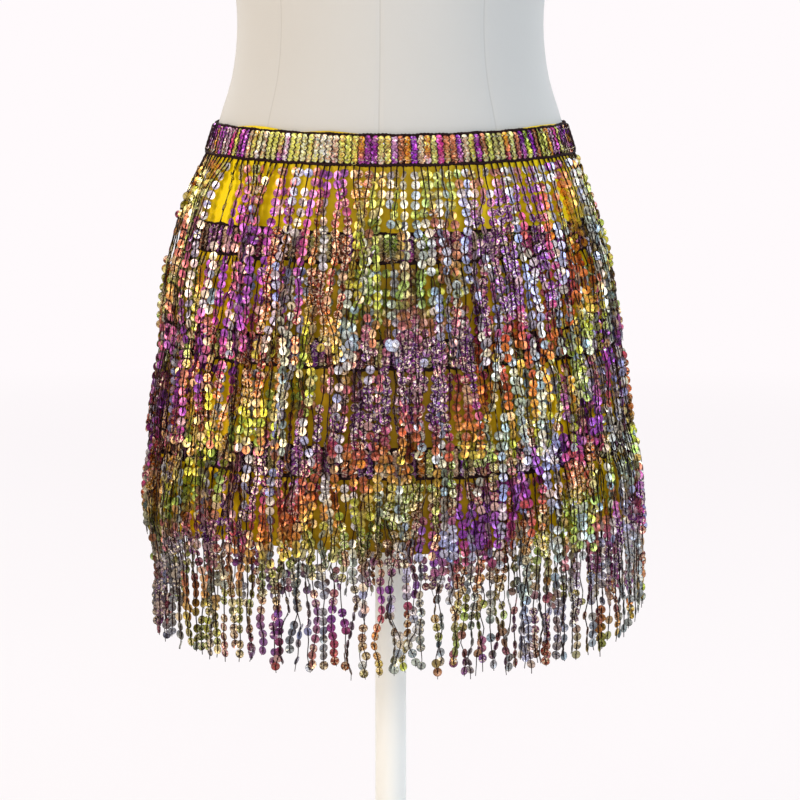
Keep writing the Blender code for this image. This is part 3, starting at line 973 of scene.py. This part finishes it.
# %% Tapes
for number, (tier, (top, bottom)) in enumerate(zip(TIERS, TAPE_EDGES)):
    node = "waist_tape" if number == 0 else f"{tier}_tape"
    turn, run = even_angles(-LAP, 2 * math.pi + LAP, 560, bottom)
    points, faces = joined([tape_web(turn, top, bottom), *edge_cords(number, turn, run, top, bottom)])
    made = mesh_piece(f"{node}_web", points, faces)
    finish_piece(made, "sequins", node, material=black.material)

    columns, _ = even_angles(-LAP + 0.004, 2 * math.pi + LAP - 0.004, COLUMNS, bottom)
    centres, up, face = tape_places(columns, top, bottom)
    colours = tape_colours(number, columns)
    low, high = (0.05, 0.45) if number == 0 else (0.40, 0.95)
    glitter = chance.uniform(low, high, len(centres))
    made = sequin_piece(f"{node}_sequins", centres, up, face, colours, np.full(len(centres), 0.8),
                        glitter, 0.78)
    finish_piece(made, "sequins", node, material=tape_film, smooth=False)

    made = mesh_piece(f"{node}_zigzag", *wavy_threads(columns, top, bottom))
    finish_piece(made, "sequins", node, material=black.material)
    made = mesh_piece(f"{node}_stitches", *pale_stitches(top, bottom))
    finish_piece(made, "sequins", node, material=cream.material)

# %% [markdown]
# ## The fringe
# The strands are black threads with a sequin every 6.4 mm. They can't be laid out evenly: on the real
# scarf they cling together in threes and fours, and the satin shows in the gaps between. So one slow
# wave pushes neighbours together along the hips, and a short table of partings opens the widest gaps.
# Each strand passes over the tier below, so it stands further off from there on.

# %% Fringe tables
# One value for each tier, from the waist down:
STRANDS = [146, 162, 166, 176]
LONG = [0.1290, 0.1290, 0.1290, 0.1355]
SWING = [0.7, 1.0, 1.2, 0.5]               # how far a strand hangs askew, in degrees
CLUMPING = [0.6, 0.5, 0.6, 0.2]
FLAT = [0.84, 0.74, 0.66, 0.60]            # the share of sequins that lie flat to the front
SILVERED = [0.14, 0.10, 0.13, 0.14]        # the share that show their silver backs
SILVERED_FRONT = [0.16, 0.30, 0.20, 0.08]  # how much greater that share is at the front
UNLIKE = [0.10, 0.12, 0.06, 0.055]         # how much a strand's colour differs from its neighbour's
SPECKLED = [0.30, 0.34, 0.44, 0.56]        # how strongly the sequins glitter
PITCH = 0.0064
PARTINGS = np.array([
    # tier  place along the tape from the front, mm  width, mm  push, mm
    (0, -112, 14, 11.0),
    (0, -158, 9, 6.0),
    (0, -72, 8, 3.5),
    (0, 121, 10, 3.0),
    (1, -108, 10, 6.5),
    (1, -36, 8, 3.0),
    (2, -116, 10, 7.0),
    (2, 62, 8, 2.5),
    (3, -136, 9, 3.5),
    (0, 258, 12, 5.0),
    (0, 340, 9, 4.0),
    (0, -262, 12, 4.5),
    (1, 210, 9, 3.5),
    (1, -230, 10, 4.0),
    (2, 300, 11, 4.0),
    (2, -330, 9, 3.0),
])


# %% Pushes on a strand
def standoff(number, angle, height):
    """How far the thread hangs from the satin. It passes over the tier below where it meets it."""
    root = TAPE_EDGES[number][1]
    if number == 3:
        steps = [(root, 1.2), (root - 0.010, 3.6), (HEM, 5.0), (-0.400, 3.6), (-0.430, 1.4)]
    else:
        top, bottom = TAPE_EDGES[number + 1]
        steps = [(root, 1.2), (root - 0.010, 3.6), (top + 0.001, 5.2), (bottom, 6.5),
                 (bottom - 0.012, 7.5), (root - 0.135, 8.0)]
    steps = np.array(steps[::-1])
    out = np.interp(height, steps[:, 0], steps[:, 1]) / 1000
    if number < 2:    # the upper tiers stand off further at the wearer's right hip
        at_hip = step(-0.09, -0.115, height) - step(-0.185, -0.215, height)
        out = out + np.maximum(np.sin(angle), 0) * 0.0028 * at_hip
    if number >= 2:    # the loose ends swing a little to the wearer's left
        left = np.maximum(-np.sin(angle), 0) * 0.0045 * step(-0.25, -0.30, height)
        right = np.maximum(np.sin(angle), 0) * 0.0075 * step(-0.325, -0.385, height)
        out = out + left - right
    return out


def wave(run, down, phases):
    """The sideways push that makes clumps and gaps, in metres."""
    push = 0
    for (length, reach), phase in zip(((0.060, 0.0036), (0.037, 0.0024), (0.023, 0.0013)), phases):
        push = push + reach * np.sin(2 * math.pi * run / length + phase + 0.9 * down)
    return push


def parting(number, along):
    """The push of the places where the fringe parts and the satin shows."""
    push = 0 * along
    for tier, place, width, reach in PARTINGS:
        if tier == number:
            away = (along - place / 1000) / (width / 1000)
            push = push + reach / 1000 * 1.6 * away * np.exp(-away ** 2)
    return push


# %% [markdown]
# A strand starts close to its even place along the tape. The loose ends of the last tier are drawn
# together at the wearer's left front. On its way down a strand then swings, bends and wobbles, and all
# of this grows from nothing at the tape, where the thread is sewn. The ends of the last tier are
# shorter at the sides, where the outermost strands hang round the hips.

# %% Strands
def strand_roots(number, strands, root):
    """Each strand's place along the tape, its angle round the body, and the whole way round."""
    angles, whole = even_angles(LAP + 0.02, 2 * math.pi + LAP, strands, root)
    even = np.linspace(0, whole, strands)
    run = even + chance.normal(0, 0.0007, strands)
    if number == 3:    # the loose ends hang closer together at the wearer's left front
        away = (run - np.interp(math.pi, angles, even) - 0.085) / 0.080
        far = away + 0.195 / 0.080
        run = run - 0.026 * away * np.exp(-away ** 2) + 0.009 * far * np.exp(-far ** 2)
    return run, np.interp(run, even, angles), whole


def strand_lengths(number, roots):
    """How long each strand hangs, in metres."""
    length = LONG[number] + chance.normal(0, 0.0030, len(roots))
    if number == 3:
        right = np.sin(roots)
        length = length - np.where(right > 0, 0.0036, 0.0010) * step(0.15, 0.5, np.abs(right))
        length = length - 0.026 * np.maximum(-right, 0) ** 8 - 0.006 * np.maximum(right, 0) ** 8
    return length


def hanging(number, root, run, roots, whole, along):
    """A function that gives the points of every strand at some distances down it."""
    strands = len(run)
    phases = chance.uniform(0, 2 * math.pi, 3)
    swing = np.tan(np.radians(chance.normal(0, SWING[number], strands)))
    bend = chance.normal(0, 0.0007 if number == 3 else 0.0011, (strands, 3))
    bend_phase = chance.uniform(0, 2 * math.pi, (strands, 3))
    knots = chance.normal(0, 0.0010 if number == 3 else 0.0006, (strands, 15))
    knots[:, 0] = 0
    depth_bend = chance.normal(0, 0.0006, strands)
    radius_round = whole / (2 * math.pi)

    def thread_at(distance):
        """Points of every strand at these distances down it: strands x stations."""
        down = np.broadcast_to(distance / LONG[number], (strands, np.shape(distance)[-1]))
        even = 1 - 0.7 * (number == 0) * step(0.02, 0.06, along)
        push = step(0, 0.4, down) * wave(run[:, None], down, phases) * CLUMPING[number] * even
        push = push + parting(number, along) * step(0, 0.15, down) * (1 - step(0.6, 1, down))
        push = push + swing[:, None] * distance
        bit = np.clip(down * 13, 0, 13.99)
        part = bit - np.floor(bit)
        at = np.floor(bit).astype(int)
        push = push + (np.take_along_axis(knots, at, 1) * (1 - part)
                       + np.take_along_axis(knots, at + 1, 1) * part)
        for k, turns in enumerate((1.1, 2.3, 4.6)):
            bent = np.sin(turns * 2 * math.pi * down + bend_phase[:, k:k + 1])
            push = push + step(0, 0.3, down) * bend[:, k:k + 1] * bent / (1, 1.4, 2.4)[k]
        height = root - distance
        deep = depth_bend[:, None] * step(0.1, 0.5, down) * np.sin(5 * down + bend_phase[:, :1])
        out = standoff(number, roots[:, None], height) + deep
        return around(roots[:, None] + push / radius_round, out, height)

    return thread_at


def fringe_threads(number, root, roots, length, thread_at):
    """The thread tubes of one tier, and the direction straight out at each strand's root."""
    strands = len(roots)
    share = np.linspace(0, 1, int(LONG[number] / 0.0038) + 1)
    tail = np.where(chance.random(strands) < 0.35, chance.uniform(0.001, 0.005, strands), 0.0006)
    path = thread_at(share * (length + tail)[:, None])
    across = around(roots + 0.01, 0, root) - around(roots, 0, root)
    across /= np.linalg.norm(across, axis=-1, keepdims=True)
    outward = np.cross(np.array([0, 0, 1.0]), across)
    outward *= np.sign((outward[:, :2] * path[:, 0, :2]).sum(1))[:, None]
    thick = np.interp(share, [0, 0.08, 0.14, 0.9, 1], [0.00066, 0.00052, 0.00044, 0.00040, 0.00028])
    points, faces = tubes(path, np.broadcast_to(thick, path.shape[:2]),
                          np.broadcast_to(across[:, None], path.shape),
                          np.broadcast_to(outward[:, None], path.shape), 4)
    return points, faces, outward


print("strand helpers ready")

# %% [markdown]
# The sequins of a strand turn on their thread in short runs, some flat to the front and some edge-on.
# The film is dyed in slanting bands, which cross the hips and shift from tier to tier. Over them lie
# runs that show the silver back of the film, and single sequins that flash. A strand is a little unlike
# its neighbours, because each was cut from another place in the roll.

# %% Bands and runs
BANDS = np.array([    # how far the slanting bands of the film have moved along at each height
    (-0.090, -0.73), (-0.130, -0.35), (-0.170, -0.53), (-0.210, -0.19),
    (-0.250, 0.05), (-0.290, 0.35), (-0.335, 0.76), (-0.430, 1.56),
])[::-1]


def swell(along, place, width):
    """1 at a place along the tape, and fading to 0 on both sides of it."""
    return np.exp(-((along - place) / width) ** 2)


def twist_runs(strands, count, flat):
    """How each sequin is turned on its thread, in radians, changing in short runs."""
    turned = np.zeros((strands, count))
    current = np.zeros(strands)
    for k in range(count):
        fresh = chance.random(strands) < (1.0 if k == 0 else 0.18)
        kind = chance.random(strands)
        sign = np.where(chance.random(strands) < 0.5, -1, 1)
        new = np.where(kind < flat, chance.normal(0, 14, strands),
                       np.where(kind < flat + (1 - flat) * 0.6, sign * chance.uniform(25, 60, strands),
                                sign * chance.uniform(62, 92, strands)))
        current = np.where(fresh, new, current)
        turned[:, k] = current + chance.normal(0, 8, strands)
    return np.radians(turned)


def film_places(number, along, height):
    """Where each sequin falls in the film's cycle, with some unevenness."""
    place = along / 0.156 + np.interp(height, BANDS[:, 0], BANDS[:, 1])
    place = place + 0.07 * np.sin(along / 0.031 + 1.3 + number) + 0.05 * np.sin(height / 0.017 + 9 * along)
    return place + chance.normal(0, UNLIKE[number], along.shape) + chance.normal(0, 0.025, height.shape)


def silver_runs(strands, count, along, share, front):
    """1 where a sequin shows its silver back, 0 elsewhere, in runs down the strand."""
    silver = np.zeros((strands, count))
    current = np.zeros(strands)
    for place, width, more in ((-0.022, 0.045, front), (0.095, 0.045, 0.36), (0.210, 0.045, 0.45)):
        share = share + more * swell(along, place, width)
    for k in range(count):
        fresh = chance.random(strands) < (1.0 if k == 0 else 0.09)
        current = np.where(fresh, chance.random(strands) < share, current)
        silver[:, k] = current
    return silver


# %% [markdown]
# The photograph's light isn't even. The wearer's right hip and left front are brighter, the centre of
# the upper tiers is darker, and the top of the fringe is paler. Past the hem many of the loose ends are
# nearly grey. Near the centre front, the last sequins of one strand have bunched into a small rosette.

# %% Fringe colours
RIGHT_HIP, CENTRE_FRONT = (-0.100, 0.075), (0.0, 0.055)
LIGHT_PLACES = [
    # (place along the tape from the front, width), more light in each of the four tiers
    (RIGHT_HIP, (0.20, 0.20, 0.00, -0.02)),
    (CENTRE_FRONT, (-0.14, -0.14, -0.11, 0.09)),
    ((0.105, 0.058), (0.26, 0.28, 0.13, 0.08)),     # the left front
    ((0.215, 0.050), (0.25, 0.25, 0.25, 0.25)),     # the left side
]
LOOSE_GREY = np.array([0.54, 0.56, 0.57])
FLASH_WHITE = np.array([1.0, 0.90, 0.74])
TOP_PINK = np.array([0.92, 0.80, 0.82])


def fringe_colours(number, along, height, loose):
    """Each sequin's colour and place in the film's cycle, and which ones are silver or flash."""
    strands, count = height.shape
    place = film_places(number, along, height)
    silver = silver_runs(strands, count, along[:, 0], SILVERED[number], SILVERED_FRONT[number])
    colours = film(place)
    pale = SILVER[chance.integers(0, len(SILVER), (strands, count))]
    colours = colours + (pale - colours) * (silver * 0.8)[..., None]
    colours = colours * (1 - 0.14 * loose[..., None])
    greyed = chance.random((strands, 1)) ** 0.8 * np.where(chance.random((strands, 1)) < 0.55, 0.95, 0.25)
    colours = colours + (LOOSE_GREY - colours) * (loose * greyed)[..., None]
    flash = chance.random((strands, count)) < (0.05 + 0.08 * swell(along, *RIGHT_HIP)) * (1 - 0.5 * loose)
    colours = np.where(flash[..., None], colours + (FLASH_WHITE - colours) * 0.65, colours)
    high = step(-0.135, -0.095, height)[..., None]
    colours = colours + (TOP_PINK - colours) * 0.20 * high
    light = sum(more[number] * swell(along, *where) for where, more in LIGHT_PLACES)
    light = light + 0.17 * silver * swell(along, *CENTRE_FRONT)
    return colours * (0.87 + 0.20 * high + light[..., None]), place, silver, flash


def bunch_rosette(centre, up, face, colours, straight, side):
    """Set the last five sequins of the strand at the centre front round one point, like petals."""
    one = np.argmin(np.abs(centre[:, -3, 0] + 0.004) + (centre[:, -3, 1] > 0))
    turns = np.arange(5)[:, None] * 2 * math.pi / 5
    spoke = np.cos(turns) * side[one, -3] + np.sin(turns) * up[one, -3]
    centre[one, -5:] = centre[one, -3] + 0.0023 * spoke + 0.0026 * straight[one, -3]
    face[one, -5:] = straight[one, -3] * math.cos(0.6) - spoke * math.sin(0.6)
    up[one, -5:] = spoke * math.cos(0.6) + straight[one, -3] * math.sin(0.6)
    colours[one, -5:] = np.array([0.80, 0.82, 0.92]) * np.array([1, 0.84, 1, 0.9, 0.78])[:, None]


# %% [markdown]
# Each tier is now two pieces: its threads, and its sequins. A few sequins are missing, most of them
# near the loose ends, and the last one of a strand is more often there than not.

# %% Fringe
for number, (tier, strands) in enumerate(zip(TIERS, STRANDS)):
    root = TAPE_EDGES[number][1] - 0.0004
    run, roots, whole = strand_roots(number, strands, root)
    length = strand_lengths(number, roots)
    along = run[:, None] - np.interp(math.pi, roots, run)
    thread_at = hanging(number, root, run, roots, whole, along)
    points, faces, outward = fringe_threads(number, root, roots, length, thread_at)
    made = mesh_piece(f"{tier}_fringe_threads", points, faces)
    finish_piece(made, "fringe_sequins", f"{tier}_fringe", material=black.material)

    start = 0.0052 + chance.uniform(0, 0.0013, strands)
    count = int(round((LONG[number] - 0.0064) / PITCH)) + 1
    spread = (length - start - SEQUIN) / (count - 1)
    distance = (start[:, None] + np.arange(count) * spread[:, None]
                + chance.normal(0, 0.0004, (strands, count)))
    centre = thread_at(distance)
    up = thread_at(distance - 0.0015) - centre
    up /= np.linalg.norm(up, axis=-1, keepdims=True)
    straight = outward[:, None] - (outward[:, None] * up).sum(-1, keepdims=True) * up
    straight /= np.linalg.norm(straight, axis=-1, keepdims=True)
    side = np.cross(up, straight)
    angle = twist_runs(strands, count, FLAT[number])[..., None]
    face = np.cos(angle) * straight + np.sin(angle) * side
    lean = np.radians(chance.normal(0, 7, (strands, count)))[..., None]
    face, up = np.cos(lean) * face + np.sin(lean) * up, np.cos(lean) * up - np.sin(lean) * face

    loose = step(HEM + 0.004, HEM - 0.022, centre[..., 2] - WAIST_Z)
    colours, place, silver, flash = fringe_colours(number, along, root - distance, loose)
    if number == 0:
        bunch_rosette(centre, up, face, colours, straight, side)
    kept = chance.random((strands, count)) > 0.05 + 0.11 * loose
    kept[:, -1] |= chance.random(strands) < 0.6
    # The spread of painted light and shade over each sequin's facets: wide on a fifth of the sequins, and
    # halved on those painted near white.
    painted_facet_light = np.where(chance.random((strands, count)) < 0.2, 1.0, 0.42) * np.where(flash, 0.5, 1.0)
    glitter = np.clip(np.sin(9 * place + 2) + chance.normal(SPECKLED[number], 0.35, place.shape), 0.08, 1)
    glitter = glitter * (1 - 0.6 * silver) * ~flash
    made = sequin_piece(f"{tier}_fringe_sequins", centre[kept], up[kept], face[kept],
                        colours[kept], painted_facet_light[kept], glitter[kept])
    finish_piece(made, "fringe_sequins", f"{tier}_fringe", material=fringe_film,
                                      smooth=False)

# %% [markdown]
# ## The two boxes
# The satin was cut as one strip that goes round the hips with its lap, a little shorter along the waist
# edge than along the hem. The file's last cell keeps the two boxes side by side, and prints how far the
# looks go past the solids.

# %% The two boxes
seen_low, seen_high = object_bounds()
boxes = {"cad": [list(solid_low), list(solid_high)], "visual": [list(seen_low), list(seen_high)]}
grown = [round(1000 * abs(a - b), 1) for pair in zip(boxes["cad"], boxes["visual"]) for a, b in zip(*pair)]
print("the looks go past the solids by, mm:", grown)
